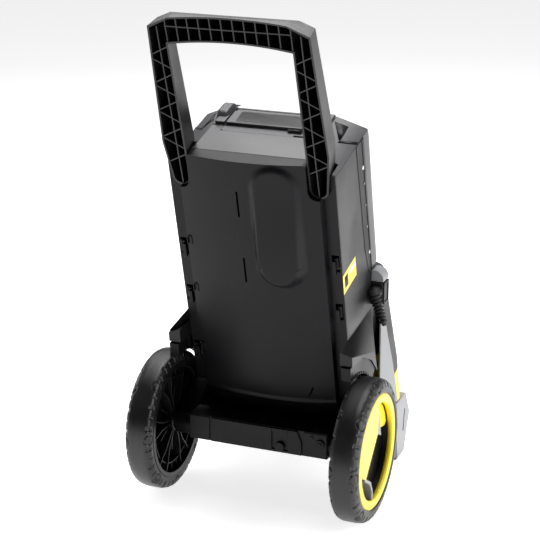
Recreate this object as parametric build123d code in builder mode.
from build123d import *
from math import cos, radians, sin
import os

# Wheeled upright pressure washer.  Millimetres, +Z up, the front faces -Y, the
# machine's left side is +X.  The origin is on the floor, under the middle of the
# machine's outer box.

# ---- wheels and axle ------------------------------------------------------
TYRE_R = 125.0            # tyre radius, also the height of the axle
TYRE_WIDTH = 51.0
TRACK_HALF = 212.3        # centre plane to the outer face of a tyre
AXLE_Y = 79.0             # axle behind the origin
AXLE_R = 7.0
FIT = 0.05                # radial clearance of a shaft in its hole
RUN_GAP = 0.5             # gap beside or around a moving piece
RIM_R = 100.0             # seat of the tyre on the rim
RIM_WALL = 6.0
HUB_R = 20.0
HUB_LENGTH = 34.0
RIM_RIBS = 12
CAP_THICK = 6.0
CAP_RING = 15.0           # width of the bright ring of the wheel cap
CAP_HUB_R = 26.0
CAP_ARMS = 3
CAP_ARM_WIDTH = 46.0
TYRE_SHOULDER = 5.0       # how much lower the tyre's side edge is than its crown
TYRE_CURVE = 9.0          # width of the sloping shoulder
WEB_IN = 26.0             # rim web, from the inner side of the wheel
RIB_IN = 8.0

# ---- leaning housing ------------------------------------------------------
WALL = 3.0
SEAM = 0.5                # gap between two covers
LEAN = 14.0               # housing leans back by this many degrees
HOUSING_Y = 18.0          # foot of the housing's rear face
HOUSING_Z = 125.0
HOUSING_HALF = 146.0      # half width of the housing
PANEL_HALF = 122.0        # half width of the raised back panel
FLANGE_B = -6.0           # rear face of the side flanges
PANEL_EDGE_B = 8.0        # back panel at its side edges
PANEL_CROWN_B = 22.0      # back panel on the centre line
SIDE_FRONT_B = -150.0     # seam between side panel and front cover
FRONT_CORNER_B = -222.0
FRONT_B = -240.0          # foremost line of the upper front cover
FRONT_CORNER_R = 60.0
SKIRT_U = 4.0             # lower edge of the back shell, measured up the lean
CREASE_U = 64.0           # crease above the skirt
COVER_LOW_U = 244.0       # lower edge of the upper front cover
SHOULDER_U = 505.0        # upper edge of the side panels
TOP_U = 531.0             # flat top
TOP_HALF = 98.0
TOP_FRONT_B = -162.0
NOSE_U = 462.0            # height of the nose, in front of the sloping top
SKIRT_HALF = 124.0
SKIRT_DRAW = 12.0         # how far the skirt draws in at its foot
SIDE_LOW_U = 66.0         # lower edge of the side panels
SIDE_LOW_FRONT_B = -168.0 # their front edge below the front cover

# snap windows of the flanges and the hooks in them
SNAP_X = 137.0
SNAP_U = (342.0, 247.0, 130.0)
SNAP_WIDTH = 12.0
SNAP_HEIGHT = 32.0
HOOK_WIDTH = 7.0
HOOK_HEIGHT = 20.0
HOOK_OUT = 2.0
SLOT_X = 16.0
SLOT_U = (452.0, 326.0)
SLOT_WIDTH = 3.5
SLOT_LENGTH = 46.0

# capsule over the motor in the back panel
CAPSULE_X = -50.0
CAPSULE_R = 44.0
CAPSULE_LOW_U = 298.0
CAPSULE_RISE = 16.0       # how far it stands out of the panel

# ---- lid ------------------------------------------------------------------
LID_HALF = 78.0
LID_REAR_B = -78.0
LID_FRONT_B = -156.0
LID_THICK = 3.0
LID_PIN_R = 1.6
LID_KNUCKLE_R = 3.8
LID_FRONT_GAP = 2.4       # room for the lid's front edge as it turns
LID_PIN_IN = 5.0          # pin behind the lid's front edge
LID_PIN_DOWN = 4.5        # pin below the lid's top
LID_RAISED = 5.0
LID_RAISED_B = -122.0
LID_RAISED_LENGTH = 46.0
LATCH_X = 62.0
LATCH_WIDTH = 24.0
LATCH_DEPTH = 5.0

# ---- handle ---------------------------------------------------------------
HANDLE_LEAN = 18.5
HANDLE_FOOT_Y = 132.3     # rear face at the lowest point of a leg
HANDLE_FOOT_Z = 577.5
LEG_INNER = 104.0         # half distance between the legs
LEG_TOP_OUTER = 135.0
LEG_LOW_OUTER = 144.0
LEG_TAPER_W = 80.0        # the foot of a leg narrows below this length
FOOT_OUTER = 136.5
BAR_CORNER_W = 294.0
BAR_TOP_W = 317.0
BAR_SHOULDER_X = 98.0
BAR_SHOULDER_W = 311.0
BAR_LOW_MID_W = 273.0
BAR_LOW_CORNER_W = 264.0
HANDLE_DEPTH = 46.0
HANDLE_DRAFT = 6.0        # degrees by which its sides close towards the front
GRIP_DEPTH = 33.0
GRIP_DROP = 14.0          # how far the grip's front edge lies below its rear edge
HANDLE_WALL = 3.0
RIB = 2.0
BAR_RIBS = 12
LEG_RIBS = 9
POCKET_GAP = 0.6
CATCH_IN = 16.0
CATCH_WIDE = 24.0
CATCH_TALL = 14.0

# ---- base -----------------------------------------------------------------
BASE_HALF = 128.0
BEAM_REAR_Y = 104.0
BEAM_LOW_Z = 106.0
BEAM_TOP_Z = 153.0
BEAM_FRONT_Y = 62.0
AXLE_HALF = 199.0
BRACKET_R = 22.0
CARRIER_FRONT_Y = -50.0   # the arms of the base reach from here to the axle
CARRIER_LOW_Z = 100.0
CARRIER_TOP = ((-50.0, 196.0), (16.0, 180.0), (54.0, 158.0))
TRAY_FRONT_Y = -196.0
TRAY_LOW_Z = 62.0
TRAY_RIM_Z = 116.0
COVER_FRONT_Y = -214.0
FOOT_FRONT_Y = -220.0
FOOT_HALF = 178.0
PAD_Z = 6.0

# ---- fenders --------------------------------------------------------------
FENDER_X = 168.0
FENDER_ARCH_R = 156.0
FENDER_LIP_R = 174.0
FENDER_ARCH_DEG = (-6.5, 15.0, 35.0, 52.0)
FENDER_FRONT_DEG = 38.0
FENDER_APEX = (-69.0, 326.0)
# lower front: height, half width, rear edge, front corner, front on the centre line
LOWER_Z = 122.0
LOWER_SECTIONS = (
    (122.0, 176.0, -62.0, -196.0, -212.0),
    (200.0, 169.0, -58.0, -196.0, -212.0),
    (290.0, 156.0, -98.0, -188.0, -206.0),
    (340.0, 149.5, -100.0, -182.0, -200.0),
    (376.0, 146.0, -101.0, -174.0, -192.0),
)
DECK_REAR_Y = -102.0      # rear edge of the deck that closes the lower cover's top
LOWER_CORNER_R = 46.0
FLANK_SPLIT_Y = -166.0    # seam between flank and lower cover, at floor level
FOOT_SLOT_LENGTH = 44.0
FOOT_SLOT_WIDTH = 7.0
PAD_LENGTH = 34.0

# ---- motor and pump, stacked along the lean --------------------------------
MOTOR_B = -34.0
MOTOR_R = 47.0
MOTOR_LOW_U = 318.0
MOTOR_TOP_U = 468.0
ROTOR_R = 26.0
AIR_GAP = 0.8
SHAFT_R = 6.0
FAN_U = 476.0
FAN_R = 40.0
FAN_BLADES = 8
PUMP_R = 42.0
PUMP_LOW_U = 196.0
PUMP_TOP_U = 310.0
WOBBLE_U = 270.0
PISTON_R = 6.0
PISTON_CIRCLE = 22.0
PISTONS = 3
PISTON_STROKE = 5.0

END_PLATE = 8.0
BEARING_R = 14.0
FAN_HEIGHT = 18.0
WOBBLE_THICK = 22.0
WOBBLE_TILT = 5.0
WOBBLE_DEG = 7.0
CHAMBER_U = 246.0
PUMP_HEAD = 50.0
PISTON_DIP = 20.0
PISTON_TOP_U = 266.0

# detergent tank under the lid
TANK_LOW_U = 440.0
TANK_TOP_U = 504.0
TANK_B = -116.0
TANK_LONG = 140.0
TANK_DEEP = 60.0
TANK_NECK_X = 40.0
TANK_NECK_R = 14.0
TANK_NECK = 8.0

# ---- side fittings ----------------------------------------------------------
GLAND_REAR_Y = -66.0
GLAND_DEPTH = 31.0
GLAND_OUT = 22.0
GLAND_LOW_Z = 334.0
GLAND_TOP_Z = 377.0
GLAND_DOME = 20.0
BOOT_LENGTH = 60.0
BOOT_R = 9.0
BOOT_AXIS = (-0.26, 0.16, -0.95)   # it hangs down, a little outwards and back
BOOT_DROP = 28.0          # height of its root above the box's lower edge

LABEL_AT = (-39.0, 300.0)
LABEL_LENGTH = 66.0
LABEL_HEIGHT = 36.0
LABEL_THICK = 0.3
SIDE_SCREWS = ((-139.0, 452.0), (-145.0, 284.0))
SCREW_HEAD_R = 4.0

# ---- front fittings ---------------------------------------------------------
KNOB_R = 30.0
KNOB_THICK = 16.0
KNOB_U = 400.0
SWITCH_R = 8.0
KNOB_BACK_B = -241.5
DOSE_STEM_R = 4.0
KNOB_STEM = 9.0
DOSE_R = 15.0
DOSE_U = 330.0
COUPLING_X = 60.0
COUPLING_Z = 175.0
COUPLING_R = 19.0
OUTLET_BORE_R = 7.0
INLET_R = 8.5
INLET_LENGTH = 26.0
COUPLING_BACK_Y = -176.0
COUPLING_LENGTH = 57.0
BUTTON_TRAVEL = 4.0
BUTTON_WIDE = 12.0
BUTTON_DEEP = 10.0
BUTTON_TALL = 16.0
BUTTON_Y = -222.0

# pipe and hose from the pump head to the couplings
PIPE_R = 6.0
HOSE_R = 7.5
PIPE_GAP = 2.0            # between the pump head and the start of a pipe
PIPE_DROP = 8.0
PIPE_FIRST_BEND = 46.0
PIPE_LAST_BEND = 34.0
PIPE_BEND_R = 10.0
PORT_X = 18.0
PORT_UP = 16.0

os.makedirs("parts", exist_ok=True)

lean_up = (0, sin(radians(LEAN)), cos(radians(LEAN)))
lean_back = (0, cos(radians(LEAN)), -sin(radians(LEAN)))
housing_foot = (0, HOUSING_Y, HOUSING_Z)
# plan: x across, y back; side: x back, y up; rear: x across, y up, facing forward
housing_plan = Plane(origin=housing_foot, x_dir=(1, 0, 0), z_dir=lean_up)
housing_side = Plane(origin=housing_foot, x_dir=lean_back, z_dir=(1, 0, 0))
housing_rear = Plane(origin=housing_foot, x_dir=(1, 0, 0), z_dir=(0, -lean_back[1], -lean_back[2]))

handle_up = (0, sin(radians(HANDLE_LEAN)), cos(radians(HANDLE_LEAN)))
handle_rear = Plane(
    origin=(0, HANDLE_FOOT_Y, HANDLE_FOOT_Z),
    x_dir=(1, 0, 0),
    z_dir=(0, -cos(radians(HANDLE_LEAN)), sin(radians(HANDLE_LEAN))),
)

# x forwards from the handle's rear face, y up the handle
handle_side = Plane(
    origin=(0, HANDLE_FOOT_Y, HANDLE_FOOT_Z),
    x_dir=(0, -cos(radians(HANDLE_LEAN)), sin(radians(HANDLE_LEAN))),
    z_dir=(-1, 0, 0),
)

SIDES = (("left", 1), ("right", -1))
FAR = 400.0               # longer than any cut needs to be


def save(builder, label):
    """Label a finished piece and write it as its own file."""
    builder.part.label = label
    export_step(builder.part, f"parts/{label}.step")
    print(label, round(builder.part.volume))


def housing_point(x, back, up):
    """A point of the leaning housing in the machine's own frame."""
    return housing_plan.from_local_coords(Vector(x, back, up))


def housing_form(inset):
    """The solid outer form of the housing, shrunk all round by inset."""
    half = HOUSING_HALF - inset
    panel = PANEL_HALF - inset
    flange = FLANGE_B - inset
    front = FRONT_CORNER_B + inset
    with BuildPart() as form:
        with BuildSketch(housing_plan.offset(CREASE_U)):
            with BuildLine():
                Polyline((-panel, flange), (-half, flange), (-half, front), (0, FRONT_B + inset),
                         (half, front), (half, flange), (panel, flange))
                Line((panel, flange), (panel, PANEL_EDGE_B - inset))
                ThreePointArc((panel, PANEL_EDGE_B - inset), (0, PANEL_CROWN_B - inset),
                              (-panel, PANEL_EDGE_B - inset))
                Line((-panel, PANEL_EDGE_B - inset), (-panel, flange))
            make_face()
            corners = [v for v in vertices() if abs(abs(v.X) - half) < 0.01 and abs(v.Y - front) < 0.01]
            fillet(corners, radius=FRONT_CORNER_R - inset)
        extrude(amount=TOP_U - CREASE_U + WALL)
        # sloping nose, seen from the side
        with BuildSketch(housing_side):
            Polygon((PANEL_CROWN_B + 40, CREASE_U), (PANEL_CROWN_B + 40, TOP_U - inset),
                    (TOP_FRONT_B, TOP_U - inset),
                    (FRONT_B + 38, NOSE_U - inset), (FRONT_B - 10, NOSE_U - 16 - inset),
                    (FRONT_B - 10, CREASE_U), align=None)
        extrude(amount=FAR, both=True, mode=Mode.INTERSECT)
        # sloping shoulders, seen from behind
        with BuildSketch(housing_rear):
            Polygon((-HOUSING_HALF, CREASE_U), (HOUSING_HALF, CREASE_U),
                    (HOUSING_HALF, SHOULDER_U - inset), (TOP_HALF, TOP_U - inset),
                    (-TOP_HALF, TOP_U - inset), (-HOUSING_HALF, SHOULDER_U - inset), align=None)
        extrude(amount=FAR, both=True, mode=Mode.INTERSECT)
    return form.part


with BuildPart() as housing_walls:
    add(housing_form(0))
    add(housing_form(WALL), mode=Mode.SUBTRACT)


# ---- handle: a ribbed channel, open to the rear --------------------------------
def handle_outline(inset):
    """The handle's outline in its own plane, shrunk all round by inset."""
    top_x = LEG_TOP_OUTER - inset
    low_x = LEG_LOW_OUTER - inset
    foot_x = FOOT_OUTER - inset
    inner = LEG_INNER + inset
    foot_w = (foot_x - inner) / 2 + inset
    foot_mid = (inner + foot_x) / 2
    with BuildSketch() as outline:
        with BuildLine():
            Line((-inner, foot_w), (-inner, BAR_LOW_CORNER_W + inset))
            ThreePointArc((-inner, BAR_LOW_CORNER_W + inset), (0, BAR_LOW_MID_W + inset),
                          (inner, BAR_LOW_CORNER_W + inset))
            Line((inner, BAR_LOW_CORNER_W + inset), (inner, foot_w))
            ThreePointArc((inner, foot_w), (foot_mid, inset), (foot_x, foot_w))
            Polyline((foot_x, foot_w), (low_x, LEG_TAPER_W), (top_x, BAR_CORNER_W - inset),
                     (BAR_SHOULDER_X, BAR_SHOULDER_W - inset))
            ThreePointArc((BAR_SHOULDER_X, BAR_SHOULDER_W - inset), (0, BAR_TOP_W - inset),
                          (-BAR_SHOULDER_X, BAR_SHOULDER_W - inset))
            Polyline((-BAR_SHOULDER_X, BAR_SHOULDER_W - inset), (-top_x, BAR_CORNER_W - inset),
                     (-low_x, LEG_TAPER_W), (-foot_x, foot_w))
            ThreePointArc((-foot_x, foot_w), (-foot_mid, inset), (-inner, foot_w))
        make_face()
    return outline.sketch


def handle_block(inset):
    """The handle as a solid bow, thinner towards the grip, shrunk by inset."""
    with BuildPart() as block:
        with BuildSketch(handle_rear):
            add(handle_outline(inset))
        extrude(amount=HANDLE_DEPTH - inset, taper=HANDLE_DRAFT)
        with BuildSketch(handle_side):
            Polygon((inset - FAR, -10), (inset - FAR, BAR_TOP_W + 1 - inset), (0, BAR_TOP_W + 1 - inset),
                    (GRIP_DEPTH - inset, BAR_TOP_W - GRIP_DROP - inset), (HANDLE_DEPTH - inset, LEG_TAPER_W),
                    (HANDLE_DEPTH - inset, -10), align=None)
        extrude(amount=FAR, both=True, mode=Mode.INTERSECT)
    return block.part


with BuildPart() as handle:
    add(handle_block(0))
    add(handle_block(HANDLE_WALL), mode=Mode.SUBTRACT)
    # stiffening ribs across the bar, along both arms and in a zigzag down the legs
    with BuildSketch(handle_rear.offset(1)):
        bar_mid_w = (BAR_LOW_MID_W + BAR_TOP_W) / 2
        with Locations((0, bar_mid_w)):
            with GridLocations(2 * LEG_INNER / (BAR_RIBS - 1), 1, BAR_RIBS, 1):
                Rectangle(RIB, BAR_TOP_W - BAR_LOW_MID_W + 12)
            Rectangle(2 * LEG_INNER, RIB)
        rib_pitch = (BAR_LOW_CORNER_W - LEG_TAPER_W / 2) / LEG_RIBS
        for side, sign in SIDES:
            leg_mid = sign * (LEG_INNER + LEG_TOP_OUTER) / 2
            with Locations((leg_mid, BAR_CORNER_W / 2)):
                Rectangle(RIB, BAR_CORNER_W)
            for number in range(LEG_RIBS):
                rib_w = LEG_TAPER_W / 2 + rib_pitch * (number + 0.5)
                with Locations(Location((leg_mid, rib_w), 28 if number % 2 else -28)):
                    Rectangle(LEG_TOP_OUTER - LEG_INNER + 20, RIB)
        add(handle_outline(0), mode=Mode.INTERSECT)
    extrude(amount=HANDLE_DEPTH)
    add(handle_block(0), mode=Mode.INTERSECT)
save(handle, "handle")


def leg_cutter():
    """The space that the handle's legs take up in the housing, with a gap round them."""
    with BuildPart() as cutter:
        with BuildSketch(handle_rear.offset(-PANEL_CROWN_B)):
            add(handle_outline(-POCKET_GAP))
        extrude(amount=HANDLE_DEPTH + PANEL_CROWN_B + POCKET_GAP)
    return cutter.part


# ---- covers of the leaning housing ----------------------------------------------
def between(back_a, back_b, up_a, up_b, across=2 * HOUSING_HALF):
    """A block in the housing's frame, from back_a to back_b and from up_a to up_b."""
    with BuildPart() as block:
        with BuildSketch(housing_side):
            with Locations(((back_a + back_b) / 2, (up_a + up_b) / 2)):
                Rectangle(abs(back_b - back_a), abs(up_b - up_a))
        extrude(amount=across / 2, both=True)
    return block.part


def capsule_outline(inset):
    """Outline of the motor's capsule, seen from behind."""
    radius = CAPSULE_R - inset
    with BuildSketch() as outline:
        with Locations((CAPSULE_X, (CAPSULE_LOW_U + TOP_U) / 2)):
            RectangleRounded(2 * radius, TOP_U - CAPSULE_LOW_U - 2 * inset, radius - 0.5)
    return outline.sketch


def skirt_outline(half, edge_b, crown_b, front_b):
    """Plan of the skirt under the back panel at one height."""
    with BuildSketch() as outline:
        with BuildLine():
            Line((-half, front_b), (-half, edge_b))
            ThreePointArc((-half, edge_b), (0, crown_b), (half, edge_b))
            Polyline((half, edge_b), (half, front_b), (-half, front_b))
        make_face()
    return outline.sketch


def skirt(inset):
    """The skirt under the back panel, drawn in towards the base."""
    front = FLANGE_B - WALL
    with BuildPart() as form:
        with BuildSketch(housing_plan.offset(CREASE_U)):
            add(skirt_outline(PANEL_HALF - inset, PANEL_EDGE_B - inset, PANEL_CROWN_B - inset, front))
        with BuildSketch(housing_plan.offset(SKIRT_U)):
            add(skirt_outline(SKIRT_HALF - inset, PANEL_EDGE_B - SKIRT_DRAW - inset,
                              PANEL_CROWN_B - SKIRT_DRAW - inset, front - SKIRT_DRAW))
        loft()
    return form.part


with BuildPart() as back_shell:
    add(housing_walls.part)
    add(between(FLANGE_B - WALL, PANEL_CROWN_B + 5, CREASE_U, TOP_U + WALL), mode=Mode.INTERSECT)
    add(skirt(0))
    add(skirt(WALL), mode=Mode.SUBTRACT)
    # capsule over the motor, standing out of the panel
    capsule_rise = PANEL_CROWN_B + CAPSULE_RISE - PANEL_EDGE_B
    with BuildSketch(housing_rear.offset(-PANEL_EDGE_B)):
        add(capsule_outline(0))
    extrude(amount=-capsule_rise, taper=12)
    with BuildSketch(housing_rear.offset(-PANEL_EDGE_B + WALL)):
        add(capsule_outline(WALL))
    extrude(amount=-capsule_rise, taper=12, mode=Mode.SUBTRACT)
    # windows for the snap hooks of the side panels, and two narrow slots
    with BuildSketch(housing_rear.offset(-PANEL_CROWN_B)):
        for side, sign in SIDES:
            with Locations(*[(sign * SNAP_X, up) for up in SNAP_U]):
                Rectangle(SNAP_WIDTH, SNAP_HEIGHT)
        with Locations(*[(SLOT_X, up) for up in SLOT_U]):
            Rectangle(SLOT_WIDTH, SLOT_LENGTH)
    extrude(amount=PANEL_CROWN_B - FLANGE_B + 2 * WALL, mode=Mode.SUBTRACT)
    add(leg_cutter(), mode=Mode.SUBTRACT)
save(back_shell, "back_shell")

for side, sign in SIDES:
    with BuildPart() as side_panel:
        add(housing_walls.part)
        add(between(SIDE_LOW_FRONT_B, FLANGE_B - WALL - SEAM, SIDE_LOW_U, SHOULDER_U - SEAM),
            mode=Mode.INTERSECT)
        add(between(SIDE_LOW_FRONT_B - 1, SIDE_FRONT_B, COVER_LOW_U - SEAM, TOP_U), mode=Mode.SUBTRACT)
        # keep one side only
        with BuildSketch(Plane.YZ):
            Rectangle(4 * FAR, 4 * FAR)
        extrude(amount=-sign * FAR, mode=Mode.SUBTRACT)
        # snap hooks that reach through the windows of the back shell
        with BuildSketch(housing_rear.offset(-FLANGE_B - HOOK_OUT)):
            with Locations(*[(sign * SNAP_X, up) for up in SNAP_U]):
                Rectangle(HOOK_WIDTH, HOOK_HEIGHT)
        extrude(amount=HOOK_OUT + 4 * WALL)
        hook_root_b = FLANGE_B - 3 * WALL
        with BuildSketch(housing_rear.offset(-hook_root_b)):
            with Locations(*[(sign * (SNAP_X + HOUSING_HALF) / 2, up) for up in SNAP_U]):
                Rectangle(HOUSING_HALF - SNAP_X, HOOK_HEIGHT)
        extrude(amount=WALL)
        add(leg_cutter(), mode=Mode.SUBTRACT)
    save(side_panel, f"side_panel_{side}")

with BuildPart() as front_cover:
    add(housing_walls.part)
    add(between(SIDE_FRONT_B - SEAM, FRONT_B - 20, COVER_LOW_U, SHOULDER_U - SEAM), mode=Mode.INTERSECT)
    # floor that closes the cover towards the pump
    with BuildSketch(housing_plan.offset(COVER_LOW_U)):
        with BuildLine():
            Polyline((-HOUSING_HALF, SIDE_FRONT_B - SEAM), (-HOUSING_HALF, FRONT_CORNER_B), (0, FRONT_B),
                     (HOUSING_HALF, FRONT_CORNER_B), (HOUSING_HALF, SIDE_FRONT_B - SEAM), close=True)
        make_face()
        cover_corners = [v for v in vertices() if abs(v.Y - FRONT_CORNER_B) < 0.01]
        fillet(cover_corners, radius=FRONT_CORNER_R)
    extrude(amount=WALL)
    with BuildSketch(housing_rear.offset(-FRONT_B - 40)):
        with Locations((0, KNOB_U)):
            Circle(SWITCH_R)
        with Locations((0, DOSE_U)):
            Circle(DOSE_STEM_R + RUN_GAP)
    extrude(amount=80, mode=Mode.SUBTRACT)
save(front_cover, "front_cover")

with BuildPart() as top_cover:
    add(housing_walls.part)
    add(between(FLANGE_B - WALL - SEAM, FRONT_B, SHOULDER_U, TOP_U + WALL), mode=Mode.INTERSECT)
    with BuildSketch(housing_plan.offset(TOP_U - 3 * WALL)):
        with Locations((0, (LID_REAR_B + RUN_GAP + LID_FRONT_B - LID_FRONT_GAP) / 2)):
            Rectangle(2 * (LID_HALF + RUN_GAP), LID_REAR_B - LID_FRONT_B + RUN_GAP + LID_FRONT_GAP)
    extrude(amount=6 * WALL, mode=Mode.SUBTRACT)
    # ears that hold the lid's pin
    for side, sign in SIDES:
        with BuildSketch(housing_side.offset(sign * (LID_HALF + RUN_GAP + WALL / 2))):
            with Locations((LID_FRONT_B + LID_PIN_IN, TOP_U - LID_PIN_DOWN - 1)):
                Rectangle(4 * LID_PIN_R, 2 * LID_PIN_DOWN - 2)
            with Locations((LID_FRONT_B + LID_PIN_IN, TOP_U - LID_PIN_DOWN)):
                Circle(LID_PIN_R + FIT, mode=Mode.SUBTRACT)
        extrude(amount=WALL / 2, both=True)
    # the pin's hole runs on through the cover's own wall
    with BuildSketch(housing_side):
        with Locations((LID_FRONT_B + LID_PIN_IN, TOP_U - LID_PIN_DOWN)):
            Circle(LID_PIN_R + FIT)
    extrude(amount=LID_HALF + RUN_GAP + 2 * WALL + 1, both=True, mode=Mode.SUBTRACT)
    add(leg_cutter(), mode=Mode.SUBTRACT)
save(top_cover, "top_cover")

lid_pin_at = (LID_FRONT_B + LID_PIN_IN, TOP_U - LID_PIN_DOWN)
with BuildPart() as lid:
    with BuildSketch(housing_plan.offset(TOP_U - LID_THICK)):
        with Locations((0, (LID_REAR_B + LID_FRONT_B) / 2)):
            RectangleRounded(2 * LID_HALF, LID_REAR_B - LID_FRONT_B, 6)
        with Locations((-LATCH_X, LID_REAR_B)):
            Rectangle(LATCH_WIDTH, 2 * LATCH_DEPTH, mode=Mode.SUBTRACT)
    extrude(amount=LID_THICK)
    # raised field
    with BuildSketch(housing_plan.offset(TOP_U)):
        with Locations((0, LID_RAISED_B)):
            RectangleRounded(2 * LID_HALF - 26, LID_RAISED_LENGTH, 8)
    extrude(amount=LID_RAISED, taper=30)
    # two knuckles on the pin
    with BuildSketch(housing_side):
        with Locations(lid_pin_at):
            Circle(LID_KNUCKLE_R)
            Circle(LID_PIN_R + FIT, mode=Mode.SUBTRACT)
    extrude(amount=LID_HALF - WALL, both=True)
    with BuildSketch(housing_side):
        with Locations((lid_pin_at[0], lid_pin_at[1] - LID_KNUCKLE_R)):
            Rectangle(2 * LID_KNUCKLE_R + 1, 2 * (LID_KNUCKLE_R + LID_PIN_DOWN - LID_THICK) - 0.02)
    extrude(amount=LID_HALF - 5 * WALL, both=True, mode=Mode.SUBTRACT)
    with BuildSketch(housing_side):
        with Locations(lid_pin_at):
            Circle(LID_PIN_R + FIT)
    extrude(amount=LID_HALF, both=True, mode=Mode.SUBTRACT)
save(lid, "lid")

with BuildPart() as lid_pin:
    with BuildSketch(housing_side):
        with Locations(lid_pin_at):
            Circle(LID_PIN_R)
    extrude(amount=LID_HALF + RUN_GAP + 2 * WALL, both=True)
save(lid_pin, "lid_pin")

# ---- base and axle ----------------------------------------------------------------
axle_plane = Plane(origin=(0, AXLE_Y, TYRE_R), x_dir=(0, 1, 0), z_dir=(1, 0, 0))
with BuildPart() as base_frame:
    with BuildSketch(Plane.YZ):
        Polygon((TRAY_FRONT_Y, TRAY_LOW_Z), (-40, TRAY_LOW_Z), (BEAM_FRONT_Y, BEAM_LOW_Z - 4),
                (BEAM_REAR_Y, BEAM_LOW_Z), (BEAM_REAR_Y, BEAM_TOP_Z), (BEAM_FRONT_Y, BEAM_TOP_Z),
                (BEAM_FRONT_Y - 4, TRAY_RIM_Z), (TRAY_FRONT_Y, TRAY_RIM_Z), align=None)
    extrude(amount=BASE_HALF, both=True)
    # open tray that holds the pump and the housing
    with BuildSketch(Plane.YZ):
        Polygon((TRAY_FRONT_Y + 4, TRAY_LOW_Z + 4), (-41, TRAY_LOW_Z + 4),
                (BEAM_FRONT_Y - 10, BEAM_LOW_Z - 2), (BEAM_FRONT_Y - 4, BEAM_TOP_Z + 1),
                (TRAY_FRONT_Y + 4, BEAM_TOP_Z + 1), align=None)
    extrude(amount=BASE_HALF - 4, both=True, mode=Mode.SUBTRACT)
    # tunnel of the rear beam, open below between its webs
    with BuildSketch(axle_plane):
        Circle(AXLE_R + FIT)
    extrude(amount=BASE_HALF + 1, both=True, mode=Mode.SUBTRACT)
save(base_frame, "base_frame")

with BuildPart() as axle:
    with BuildSketch(axle_plane):
        Circle(AXLE_R)
    extrude(amount=AXLE_HALF, both=True)
    chamfer(axle.edges().filter_by(GeomType.CIRCLE), length=1)
save(axle, "axle")

wheel_inner = TRACK_HALF - TYRE_WIDTH
for side, sign in SIDES:
    with BuildPart() as axle_bracket:
        with BuildSketch(axle_plane.offset(sign * (BASE_HALF + SEAM))):
            Circle(BRACKET_R)
            with Locations((-AXLE_Y, -TYRE_R)):
                Polygon(*CARRIER_TOP, (AXLE_Y + BRACKET_R / 2, TYRE_R + BRACKET_R * 0.8),
                        (AXLE_Y, TYRE_R - BRACKET_R), (CARRIER_FRONT_Y, CARRIER_LOW_Z), align=None)
            Circle(AXLE_R + FIT, mode=Mode.SUBTRACT)
        extrude(amount=sign * (wheel_inner - BASE_HALF - 2 * SEAM - RUN_GAP))
    save(axle_bracket, f"axle_bracket_{side}")

    with BuildPart() as axle_clip:
        with BuildSketch(axle_plane.offset(sign * (wheel_inner + HUB_LENGTH + RUN_GAP))):
            Circle(AXLE_R + 5)
            Circle(AXLE_R, mode=Mode.SUBTRACT)
        extrude(amount=sign * 2)
    save(axle_clip, f"axle_clip_{side}")

    with BuildPart() as tyre:
        with BuildSketch(Plane.XZ.offset(-AXLE_Y)):
            inner_x = sign * wheel_inner
            outer_x = sign * TRACK_HALF
            shoulder_z = 2 * TYRE_R - TYRE_SHOULDER
            with BuildLine():
                Polyline((inner_x, TYRE_R + RIM_R), (outer_x, TYRE_R + RIM_R), (outer_x, shoulder_z),
                         (outer_x - sign * TYRE_CURVE, 2 * TYRE_R), (inner_x + sign * TYRE_CURVE, 2 * TYRE_R),
                         (inner_x, shoulder_z), close=True)
            make_face()
        revolve(axis=Axis((0, AXLE_Y, TYRE_R), (1, 0, 0)))
    save(tyre, f"tyre_{side}")

    with BuildPart() as rim:
        with BuildSketch(axle_plane.offset(sign * wheel_inner)):
            Circle(RIM_R)
            Circle(RIM_R - RIM_WALL, mode=Mode.SUBTRACT)
        extrude(amount=sign * (TYRE_WIDTH - CAP_THICK - 2))
        with BuildSketch(axle_plane.offset(sign * (wheel_inner + RUN_GAP))):
            Circle(HUB_R)
        extrude(amount=sign * (HUB_LENGTH - RUN_GAP))
        # web and radial ribs, seen from the inner side
        with BuildSketch(axle_plane.offset(sign * (wheel_inner + WEB_IN))):
            Circle(RIM_R - RIM_WALL / 2)
        extrude(amount=sign * 4)
        with BuildSketch(axle_plane.offset(sign * (wheel_inner + RIB_IN))):
            with PolarLocations((HUB_R + RIM_R) / 2 - 2, RIM_RIBS):
                Rectangle(RIM_R - HUB_R, 3)
            Circle(RIM_R - RIM_WALL / 2, mode=Mode.INTERSECT)
        extrude(amount=sign * (WEB_IN - RIB_IN + 1))
        with BuildSketch(axle_plane):
            Circle(AXLE_R + FIT)
        extrude(amount=sign * FAR, mode=Mode.SUBTRACT)
    save(rim, f"rim_{side}")

    with BuildPart() as wheel_cap:
        with BuildSketch(axle_plane.offset(sign * (TRACK_HALF - 2 - CAP_THICK))):
            Circle(RIM_R)
            Circle(RIM_R - CAP_RING, mode=Mode.SUBTRACT)
            Circle(CAP_HUB_R)
            with PolarLocations(RIM_R / 2, CAP_ARMS, start_angle=45):
                Rectangle(RIM_R - 4, CAP_ARM_WIDTH)
            Circle(RIM_R, mode=Mode.INTERSECT)
        extrude(amount=sign * CAP_THICK)
    save(wheel_cap, f"wheel_cap_{side}")

# ---- catches that the handle's feet snap onto -------------------------------------------
for side, sign in SIDES:
    with BuildPart() as handle_catch:
        with BuildSketch(handle_rear.offset(CATCH_IN)):
            with Locations((sign * (LEG_INNER + FOOT_OUTER) / 2, -CATCH_TALL / 2 - POCKET_GAP)):
                RectangleRounded(CATCH_WIDE, CATCH_TALL, 3)
        extrude(amount=HANDLE_DEPTH - CATCH_IN)
    save(handle_catch, f"handle_catch_{side}")

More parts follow.
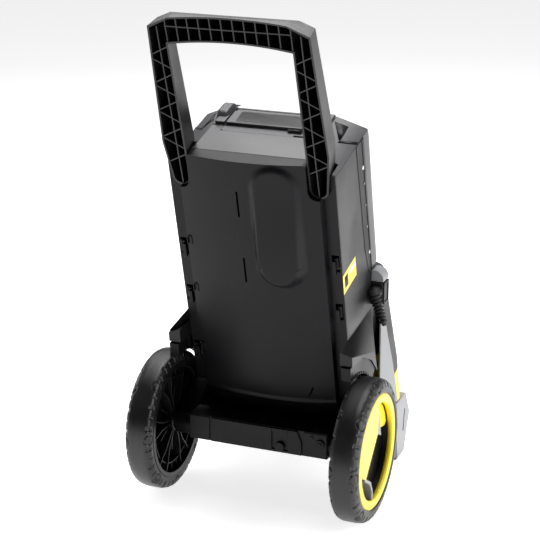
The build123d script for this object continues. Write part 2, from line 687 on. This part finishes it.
# ---- fenders over the wheels ------------------------------------------------------------
def around_axle(radius, degrees):
    """Y and Z of a point round the axle, degrees forward of the highest point."""
    return (AXLE_Y - radius * sin(radians(degrees)), TYRE_R + radius * cos(radians(degrees)))


arch_points = [around_axle(FENDER_ARCH_R, degrees) for degrees in FENDER_ARCH_DEG]
for side, sign in SIDES:
    with BuildPart() as fender:
        with BuildSketch(Plane.YZ.offset(sign * (HOUSING_HALF + SEAM))):
            Polygon(*arch_points, FENDER_APEX, around_axle(FENDER_LIP_R + 6, FENDER_ARCH_DEG[0]), align=None)
        with BuildSketch(Plane.YZ.offset(sign * FENDER_X)):
            Polygon(*arch_points, around_axle(FENDER_LIP_R, FENDER_FRONT_DEG),
                    around_axle(FENDER_LIP_R, FENDER_ARCH_DEG[0]), align=None)
        loft()
    save(fender, f"fender_{side}")

# ---- lower front: cover, flanks and feet ---------------------------------------------------
def lower_outline(half, side_y, corner_y, front_y, radius):
    """Plan of the lower front at one height, closed towards the rear."""
    with BuildSketch() as outline:
        with BuildLine():
            Polyline((-half, side_y), (-half, corner_y), (0, front_y), (half, corner_y), (half, side_y),
                     close=True)
        make_face()
        front_corners = [v for v in vertices() if abs(v.Y - corner_y) < 0.01]
        fillet(front_corners, radius=radius)
    return outline.sketch


def lower_form(inset):
    """Outer form of the lower front, from the base up to the upper cover."""
    with BuildPart() as form:
        for height, half, side_y, corner_y, front_y in LOWER_SECTIONS:
            with BuildSketch(Plane.XY.offset(height)):
                add(lower_outline(half - inset, side_y, corner_y + inset, front_y + inset,
                                  LOWER_CORNER_R - inset))
        loft(ruled=True)
    return form.part


with BuildPart() as front_cover_lower:
    add(lower_form(0))
    add(lower_form(WALL), mode=Mode.SUBTRACT)
    # deck that closes its top
    top_z, top_half, _, top_corner_y, top_front_y = LOWER_SECTIONS[-1]
    with BuildSketch(Plane.XY.offset(top_z - WALL)):
        add(lower_outline(top_half, DECK_REAR_Y, top_corner_y, top_front_y, LOWER_CORNER_R))
    extrude(amount=WALL)
    # the flanks are pieces of their own
    with BuildSketch(Plane.YZ):
        Polygon((FLANK_SPLIT_Y, 0), (FLANK_SPLIT_Y + 60, FAR), (FAR, FAR), (FAR, 0), align=None)
    extrude(amount=FAR, both=True, mode=Mode.SUBTRACT)
    with BuildSketch(Plane.XZ.offset(-COVER_FRONT_Y - 60)):
        with Locations((-COUPLING_X, COUPLING_Z), (COUPLING_X, COUPLING_Z)):
            Circle(COUPLING_R + RUN_GAP)
    extrude(amount=120, mode=Mode.SUBTRACT)
save(front_cover_lower, "front_cover_lower")

for side, sign in SIDES:
    with BuildPart() as flank:
        add(lower_form(0))
        add(lower_form(WALL), mode=Mode.SUBTRACT)
        with BuildSketch(Plane.YZ):
            Polygon((FLANK_SPLIT_Y + SEAM, 0), (FLANK_SPLIT_Y + SEAM + 60, FAR),
                    (-2 * FAR, FAR), (-2 * FAR, 0), align=None)
        extrude(amount=FAR, both=True, mode=Mode.SUBTRACT)
        with BuildSketch(Plane.YZ):
            Rectangle(4 * FAR, 4 * FAR)
        extrude(amount=-sign * FAR, mode=Mode.SUBTRACT)
        with BuildSketch(Plane.YZ):
            Rectangle(4 * FAR, 4 * FAR)
        extrude(amount=sign * (HOUSING_HALF + SEAM), mode=Mode.SUBTRACT)
    save(flank, f"side_flank_{side}")

    with BuildPart() as foot:
        with BuildSketch(Plane.YZ.offset(sign * (BASE_HALF + SEAM))):
            Polygon((FOOT_FRONT_Y + 28, LOWER_Z - SEAM), (FOOT_FRONT_Y, 74), (FOOT_FRONT_Y + 30, PAD_Z),
                    (FOOT_FRONT_Y + 72, PAD_Z), (FOOT_FRONT_Y + 90, LOWER_Z - SEAM), align=None)
        extrude(amount=sign * (FOOT_HALF - BASE_HALF - SEAM))
        with BuildSketch(Plane.YZ.offset(sign * (FOOT_HALF - 4))):
            with Locations((FOOT_FRONT_Y + 36, 70)):
                SlotOverall(FOOT_SLOT_LENGTH, FOOT_SLOT_WIDTH, rotation=100)
        extrude(amount=sign * 4, mode=Mode.SUBTRACT)
    save(foot, f"front_foot_{side}")

    with BuildPart() as foot_pad:
        with BuildSketch(Plane.XY):
            with Locations((sign * (BASE_HALF + FOOT_HALF) / 2, FOOT_FRONT_Y + 51)):
                RectangleRounded(FOOT_HALF - BASE_HALF - 8, PAD_LENGTH, 4)
        extrude(amount=PAD_Z)
    save(foot_pad, f"foot_pad_{side}")

# ---- cord gland on the right side -------------------------------------------------------------
gland_mid_y = GLAND_REAR_Y - GLAND_DEPTH / 2
with BuildPart() as gland_box:
    with BuildSketch(Plane.YZ.offset(-HOUSING_HALF - SEAM)):
        with Locations((gland_mid_y, (GLAND_LOW_Z + GLAND_TOP_Z) / 2)):
            Rectangle(GLAND_DEPTH, GLAND_TOP_Z - GLAND_LOW_Z)
    extrude(amount=-GLAND_OUT, taper=4)
    chamfer(gland_box.edges().group_by(Axis.X)[0], length=2)
save(gland_box, "gland_box")

with BuildPart() as gland_dome:
    with BuildSketch(Plane.XY.offset(GLAND_TOP_Z + SEAM)):
        with Locations((-HOUSING_HALF - SEAM - GLAND_OUT / 2, gland_mid_y)):
            Rectangle(GLAND_OUT, GLAND_DEPTH)
    extrude(amount=GLAND_DOME)
    outer_edges = gland_dome.edges().filter_by(Axis.Y).sort_by(Axis.X)[:2].sort_by(Axis.Z)[-1:]
    fillet(outer_edges, radius=GLAND_DOME - 2)
save(gland_dome, "gland_dome")

boot_from = Vector(-HOUSING_HALF - GLAND_OUT / 2, GLAND_REAR_Y + SEAM, GLAND_LOW_Z + BOOT_DROP)
boot_axis = Vector(*BOOT_AXIS).normalized()
with BuildPart() as strain_relief:
    with BuildSketch(Plane.XZ.offset(-GLAND_REAR_Y - SEAM)):
        with Locations((boot_from.X, boot_from.Z)):
            Circle(BOOT_R)
    extrude(amount=-2 * BOOT_R)
    with BuildSketch(Plane(origin=boot_from + Vector(0, BOOT_R, 0), x_dir=(1, 0, 0), z_dir=boot_axis)):
        Circle(BOOT_R)
    extrude(amount=BOOT_LENGTH, taper=2.5)
save(strain_relief, "strain_relief")

# ---- label and screws ------------------------------------------------------------------------------
with BuildPart() as label:
    with BuildSketch(housing_side.offset(-HOUSING_HALF)):
        with Locations(LABEL_AT):
            Rectangle(LABEL_LENGTH, LABEL_HEIGHT)
    extrude(amount=-LABEL_THICK)
save(label, "warning_label")

for side, sign in SIDES:
    with BuildPart() as side_screws:
        with BuildSketch(housing_side.offset(sign * HOUSING_HALF)):
            with Locations(*SIDE_SCREWS):
                Circle(SCREW_HEAD_R)
        extrude(amount=sign * 1.2)
        outer_rims = side_screws.edges().filter_by(GeomType.CIRCLE).group_by(Axis.X)[-1 if sign > 0 else 0]
        fillet(outer_rims, radius=0.8)
    save(side_screws, f"side_screws_{side}")

# ---- motor, standing in the capsule ------------------------------------------------------
motor_plan = Plane(origin=housing_point(CAPSULE_X, MOTOR_B, 0), x_dir=(1, 0, 0), z_dir=lean_up)

with BuildPart() as motor_stator:
    with BuildSketch(motor_plan.offset(MOTOR_LOW_U)):
        Circle(MOTOR_R)
        Circle(ROTOR_R + AIR_GAP, mode=Mode.SUBTRACT)
    extrude(amount=MOTOR_TOP_U - MOTOR_LOW_U)
    # lower end plate that carries the bearing
    with BuildSketch(motor_plan.offset(MOTOR_LOW_U - END_PLATE)):
        Circle(MOTOR_R)
        Circle(BEARING_R + FIT, mode=Mode.SUBTRACT)
    extrude(amount=END_PLATE)
save(motor_stator, "motor_stator")

with BuildPart() as motor_bearing:
    with BuildSketch(motor_plan.offset(MOTOR_LOW_U - END_PLATE)):
        Circle(BEARING_R)
        Circle(SHAFT_R + FIT, mode=Mode.SUBTRACT)
    extrude(amount=END_PLATE - 1)
save(motor_bearing, "motor_bearing")

with BuildPart() as motor_rotor:
    with BuildSketch(motor_plan.offset(MOTOR_LOW_U + 6)):
        Circle(ROTOR_R)
        Circle(SHAFT_R, mode=Mode.SUBTRACT)
    extrude(amount=MOTOR_TOP_U - MOTOR_LOW_U - 12)
save(motor_rotor, "motor_rotor")

with BuildPart() as motor_shaft:
    with BuildSketch(motor_plan.offset(WOBBLE_U)):
        Circle(SHAFT_R)
    extrude(amount=FAN_U + FAN_HEIGHT - WOBBLE_U)
save(motor_shaft, "motor_shaft")

with BuildPart() as cooling_fan:
    with BuildSketch(motor_plan.offset(FAN_U)):
        Circle(SHAFT_R + 5)
        with PolarLocations((FAN_R + SHAFT_R) / 2, FAN_BLADES):
            Rectangle(FAN_R - SHAFT_R, 2.5)
        Circle(SHAFT_R, mode=Mode.SUBTRACT)
    extrude(amount=FAN_HEIGHT)
    with BuildSketch(motor_plan.offset(FAN_U)):
        Circle(FAN_R)
        Circle(SHAFT_R, mode=Mode.SUBTRACT)
    extrude(amount=2)
save(cooling_fan, "cooling_fan")

# wobble plate: its lower face is tilted, so that it pushes the pistons in turn
with BuildPart() as wobble_plate:
    with BuildSketch(motor_plan.offset(WOBBLE_U)):
        Circle(PISTON_CIRCLE + PISTON_R + 3)
        Circle(SHAFT_R, mode=Mode.SUBTRACT)
    extrude(amount=WOBBLE_THICK)
    wobble_cut = Plane(origin=motor_plan.from_local_coords(Vector(0, 0, WOBBLE_U + WOBBLE_TILT)),
                       x_dir=(1, 0, 0), z_dir=lean_up).rotated((WOBBLE_DEG, 0, 0))
    split(bisect_by=wobble_cut, keep=Keep.TOP)
save(wobble_plate, "wobble_plate")

# ---- pump under the motor ---------------------------------------------------------------------
with BuildPart() as pump_body:
    with BuildSketch(motor_plan.offset(PUMP_LOW_U)):
        Circle(PUMP_R)
    extrude(amount=PUMP_TOP_U - PUMP_LOW_U)
    # chamber of the wobble plate, open towards the motor
    with BuildSketch(motor_plan.offset(CHAMBER_U)):
        Circle(PUMP_R - 5)
    extrude(amount=FAR, mode=Mode.SUBTRACT)
    with BuildSketch(motor_plan.offset(PUMP_LOW_U)):
        with PolarLocations(PISTON_CIRCLE, PISTONS):
            Circle(PISTON_R + FIT)
    extrude(amount=FAR, mode=Mode.SUBTRACT)
save(pump_body, "pump_body")

with BuildPart() as pump_head:
    with BuildSketch(motor_plan.offset(PUMP_LOW_U - PUMP_HEAD)):
        RectangleRounded(2 * PUMP_R, 2 * PUMP_R, 10)
    extrude(amount=PUMP_HEAD)
    # the pistons dip into blind bores
    with BuildSketch(motor_plan.offset(PUMP_LOW_U)):
        with PolarLocations(PISTON_CIRCLE, PISTONS):
            Circle(PISTON_R + FIT)
    extrude(amount=-PISTON_DIP - PISTON_STROKE - 1, mode=Mode.SUBTRACT)
save(pump_head, "pump_head")

piston_places = PolarLocations(PISTON_CIRCLE, PISTONS).local_locations
for number, place in enumerate(piston_places, start=1):
    with BuildPart() as piston:
        with BuildSketch(motor_plan.offset(PUMP_LOW_U - PISTON_DIP)):
            with Locations(place):
                Circle(PISTON_R)
        extrude(amount=PISTON_TOP_U - PUMP_LOW_U + PISTON_DIP)
    save(piston, f"piston_{number}")

# ---- electric boxes, tank and pipes ---------------------------------------------------------------
def housing_box(x, back, up, size_x, size_back, size_up, radius):
    """A box with rounded corners, standing in the housing on its lower face."""
    with BuildPart() as box:
        with BuildSketch(housing_plan.offset(up)):
            with Locations((x, back)):
                RectangleRounded(size_x, size_back, radius)
        extrude(amount=size_up)
        fillet(box.faces().sort_by(Axis((0, 0, 0), lean_up))[-1].edges(), radius=2)
    return box


capacitor = housing_box(58, -40, 330, 46, 46, 90, 20)
save(capacitor, "run_capacitor")
switch_body = housing_box(0, KNOB_BACK_B + 36, KNOB_U - 24, 48, 50, 48, 4)
save(switch_body, "switch_body")
terminal_box = housing_box(70, -60, 230, 60, 50, 60, 5)
save(terminal_box, "terminal_box")

with BuildPart() as detergent_tank:
    with BuildSketch(housing_plan.offset(TANK_LOW_U)):
        with Locations((0, TANK_B)):
            RectangleRounded(TANK_LONG, TANK_DEEP, 12)
    extrude(amount=TANK_TOP_U - TANK_LOW_U)
    fillet(detergent_tank.edges().filter_by(GeomType.LINE, reverse=True), radius=4)
    with BuildSketch(housing_plan.offset(TANK_TOP_U - 1)):
        with Locations((TANK_NECK_X, TANK_B)):
            Circle(TANK_NECK_R)
    extrude(amount=TANK_NECK + 1)
save(detergent_tank, "detergent_tank")

with BuildPart() as tank_cap:
    with BuildSketch(housing_plan.offset(TANK_TOP_U + 2)):
        with Locations((TANK_NECK_X, TANK_B)):
            Circle(TANK_NECK_R + RUN_GAP + 3)
            Circle(TANK_NECK_R + RUN_GAP, mode=Mode.SUBTRACT)
    extrude(amount=TANK_NECK - 2 + RUN_GAP)
    with BuildSketch(housing_plan.offset(TANK_TOP_U + TANK_NECK + RUN_GAP)):
        with Locations((TANK_NECK_X, TANK_B)):
            Circle(TANK_NECK_R + RUN_GAP + 3)
    extrude(amount=3)
save(tank_cap, "tank_cap")

# ---- rotary power switch and detergent knob on the front --------------------------------------------
knob_face = housing_rear.offset(-KNOB_BACK_B)
with BuildPart() as power_knob:
    with BuildSketch(knob_face):
        with Locations((0, KNOB_U)):
            Circle(KNOB_R)
    extrude(amount=KNOB_THICK)
    chamfer(power_knob.edges().sort_by(Axis.Y)[:1], length=2)
    with BuildSketch(knob_face.offset(KNOB_THICK)):
        with Locations((0, KNOB_U)):
            SlotOverall(2 * KNOB_R - 6, 14, rotation=90)
    extrude(amount=8, taper=4)
    with BuildSketch(knob_face):
        with Locations((0, KNOB_U)):
            Circle(SWITCH_R - RUN_GAP)
    extrude(amount=-KNOB_STEM)
save(power_knob, "power_knob")

with BuildPart() as dosing_knob:
    with BuildSketch(knob_face):
        with Locations((0, DOSE_U)):
            Circle(DOSE_R)
    extrude(amount=12)
    with BuildSketch(knob_face.offset(12)):
        with Locations((0, DOSE_U)):
            Rectangle(5, 2 * DOSE_R - 6)
    extrude(amount=5)
    with BuildSketch(knob_face):
        with Locations((0, DOSE_U)):
            Circle(DOSE_STEM_R)
    extrude(amount=-KNOB_STEM)
save(dosing_knob, "dosing_knob")

# ---- hose couplings on the lower front ----------------------------------------------------------------
front_plane = Plane(origin=(0, COUPLING_BACK_Y, COUPLING_Z), x_dir=(1, 0, 0), z_dir=(0, -1, 0))
with BuildPart() as outlet_coupling:
    with BuildSketch(front_plane):
        with Locations((COUPLING_X, 0)):
            Circle(COUPLING_R)
    extrude(amount=COUPLING_LENGTH)
    with BuildSketch(front_plane.offset(6)):
        with Locations((COUPLING_X, 0)):
            Circle(OUTLET_BORE_R)
    extrude(amount=FAR, mode=Mode.SUBTRACT)
    # well of the release button
    with BuildSketch(Plane.XY.offset(COUPLING_Z + OUTLET_BORE_R + 0.8)):
        with Locations((COUPLING_X, BUTTON_Y)):
            Rectangle(BUTTON_WIDE + 2 * RUN_GAP, BUTTON_DEEP + 2 * RUN_GAP)
    extrude(amount=FAR, mode=Mode.SUBTRACT)
save(outlet_coupling, "outlet_coupling")

with BuildPart() as release_button:
    with BuildSketch(Plane.XY.offset(COUPLING_Z + OUTLET_BORE_R + BUTTON_TRAVEL + 1)):
        with Locations((COUPLING_X, BUTTON_Y)):
            Rectangle(BUTTON_WIDE, BUTTON_DEEP)
    extrude(amount=BUTTON_TALL)
    chamfer(release_button.edges().group_by(Axis.Z)[-1], length=1)
save(release_button, "release_button")

with BuildPart() as inlet_coupling:
    with BuildSketch(front_plane):
        with Locations((-COUPLING_X, 0)):
            Circle(COUPLING_R)
    extrude(amount=COUPLING_LENGTH - INLET_LENGTH)
    with BuildSketch(front_plane.offset(COUPLING_LENGTH - INLET_LENGTH)):
        with Locations((-COUPLING_X, 0)):
            Circle(INLET_R)
    extrude(amount=INLET_LENGTH)
    chamfer(inlet_coupling.edges().sort_by(Axis.Y)[0], length=1)
    with BuildSketch(front_plane.offset(8)):
        with Locations((-COUPLING_X, 0)):
            Circle(INLET_R - 3)
    extrude(amount=FAR, mode=Mode.SUBTRACT)
save(inlet_coupling, "inlet_coupling")

pump_low = housing_point(CAPSULE_X, MOTOR_B, PUMP_LOW_U - PUMP_HEAD / 2)
pipe_start_y = pump_low.Y - PUMP_R * cos(radians(LEAN)) - PIPE_GAP
PIPES = (("pressure_pipe", 1, PIPE_R, PIPE_DROP), ("water_hose", -1, HOSE_R, -PIPE_DROP))
for label, sign, pipe_r, drop in PIPES:
    with BuildPart() as pipe:
        end = Vector(sign * COUPLING_X, COUPLING_BACK_Y, COUPLING_Z)
        start = Vector(CAPSULE_X + sign * PORT_X, pipe_start_y, pump_low.Z + PORT_UP)
        with BuildLine() as route:
            FilletPolyline(start, Vector(start.X, end.Y + PIPE_FIRST_BEND, start.Z - PIPE_DROP),
                           Vector(end.X, end.Y + PIPE_LAST_BEND, end.Z + pipe_r + drop),
                           end + Vector(0, PIPE_R, 0), radius=PIPE_BEND_R)
        with BuildSketch(Plane(origin=route.line @ 0, z_dir=route.line % 0)):
            Circle(pipe_r)
        sweep()
    save(pipe, label)
